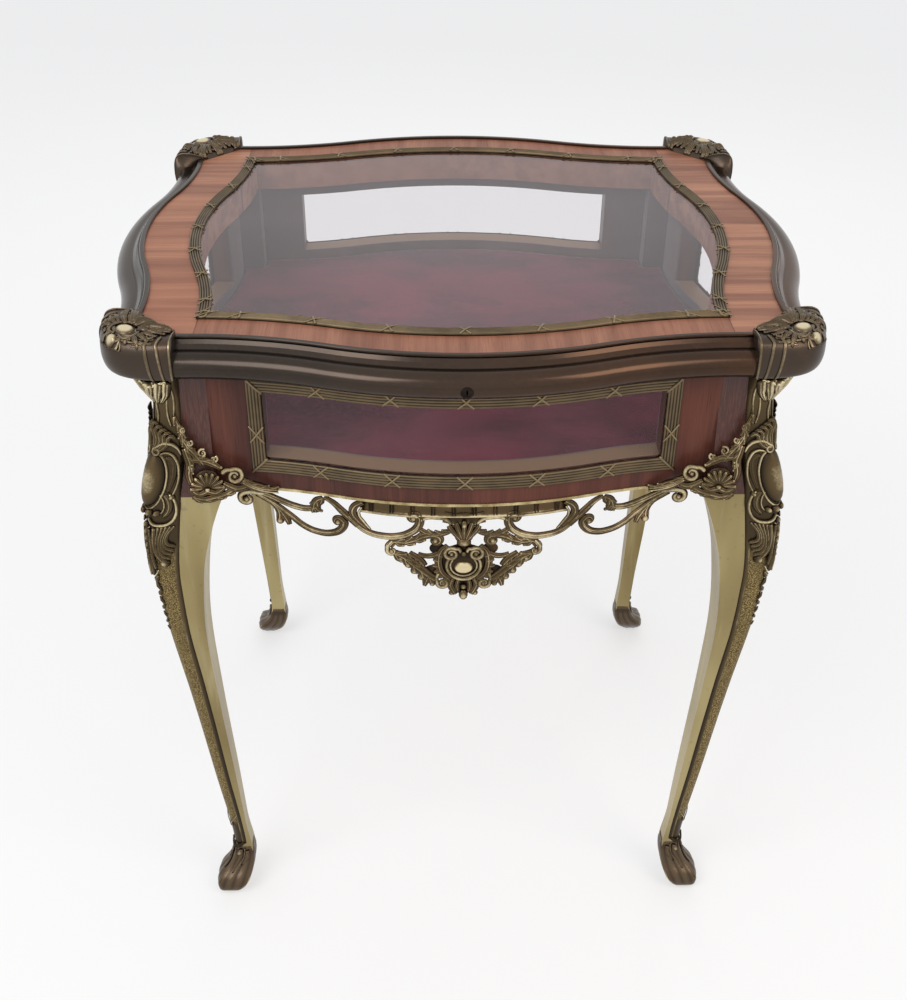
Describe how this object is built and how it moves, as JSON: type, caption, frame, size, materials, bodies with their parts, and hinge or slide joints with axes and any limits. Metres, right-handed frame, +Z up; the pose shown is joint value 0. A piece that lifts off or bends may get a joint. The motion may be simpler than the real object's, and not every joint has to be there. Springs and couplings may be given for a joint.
{
  "type": "collectors display table",
  "caption": "Glazed display table on cabriole legs with a hinged glass lid, side windows, a velvet-lined case, a lock and cast ornament.",
  "frame": {"origin": "on the floor under the centre of the table", "axes": "+Z up, -Y to the front with the lock, +X to the right seen from the front"},
  "size_m": [0.7178, 0.6289, 0.769],
  "materials": {
    "carcass_wood": "oiled hardwood",
    "leg_brass": "smooth polished brass",
    "apron_veneer": "dark polished veneer",
    "lid_veneer": "faded polished veneer",
    "moulding_bronze": "dark patinated brass moulding",
    "cast_brass": "cast and chased brass, worn bright on the edges",
    "reeded_brass": "aged reeded brass strip",
    "polished_brass": "drawn brass strip",
    "fitting_brass": "machined brass",
    "clear_glass": "clear float glass",
    "velvet": "crimson velvet over a thin board",
    "lining_cloth": "tan cloth over card"
  },
  "bodies": {
    "case": {"apron_back": "apron_veneer", "apron_edge_bands": "polished_brass", "apron_front": "apron_veneer", "apron_left": "apron_veneer", "apron_right": "apron_veneer", "floor_board": "carcass_wood", "gallery_back": "cast_brass", "gallery_front": "cast_brass", "gallery_left": "cast_brass", "gallery_right": "cast_brass", "hinge_base_leaves": "fitting_brass", "hinge_base_screws": "fitting_brass", "hinge_pins": "fitting_brass", "leg_back_left": "leg_brass", "leg_back_right": "leg_brass", "leg_front_left": "leg_brass", "leg_front_right": "leg_brass", "leg_mount_back_left": "cast_brass", "leg_mount_back_right": "cast_brass", "leg_mount_front_left": "cast_brass", "leg_mount_front_right": "cast_brass", "lock_strike": "fitting_brass", "sabot_back_left": "cast_brass", "sabot_back_right": "cast_brass", "sabot_front_left": "cast_brass", "sabot_front_right": "cast_brass", "spandrel_mounts_back": "cast_brass", "spandrel_mounts_front": "cast_brass", "spandrel_mounts_left": "cast_brass", "spandrel_mounts_right": "cast_brass", "strike_screws": "fitting_brass", "velvet_floor": "velvet", "wall_lining": "lining_cloth", "window_glass_back": "clear_glass", "window_glass_front": "clear_glass", "window_glass_left": "clear_glass", "window_glass_right": "clear_glass", "window_trim_back": "reeded_brass", "window_trim_front": "reeded_brass", "window_trim_left": "reeded_brass", "window_trim_right": "reeded_brass"},
    "lid": {"corner_cap_back_left": "cast_brass", "corner_cap_back_right": "cast_brass", "corner_cap_front_left": "cast_brass", "corner_cap_front_right": "cast_brass", "hinge_lid_leaves": "fitting_brass", "hinge_lid_screws": "fitting_brass", "lid_glass": "clear_glass", "lid_rail_back": "lid_veneer", "lid_rail_front": "lid_veneer", "lid_rail_left": "lid_veneer", "lid_rail_right": "lid_veneer", "lid_reed_frame": "reeded_brass", "lock_barrel": "fitting_brass", "moulding_back": "moulding_bronze", "moulding_front": "moulding_bronze", "moulding_left": "moulding_bronze", "moulding_right": "moulding_bronze"},
    "lock_cam": {"lock_cam": "fitting_brass"}
  },
  "joints": [
    {"name": "lid_hinge", "type": "hinge", "parent": "case", "child": "lid", "pos_m": [0, 0.2903, 0.7236], "axis": [-1, 0, 0], "range_deg": [0, 95]},
    {"name": "lock_turn", "type": "hinge", "parent": "lid", "child": "lock_cam", "pos_m": [0, -0.271, 0.7385], "axis": [0, 1, 0], "range_deg": [0, 100]}
  ]
}
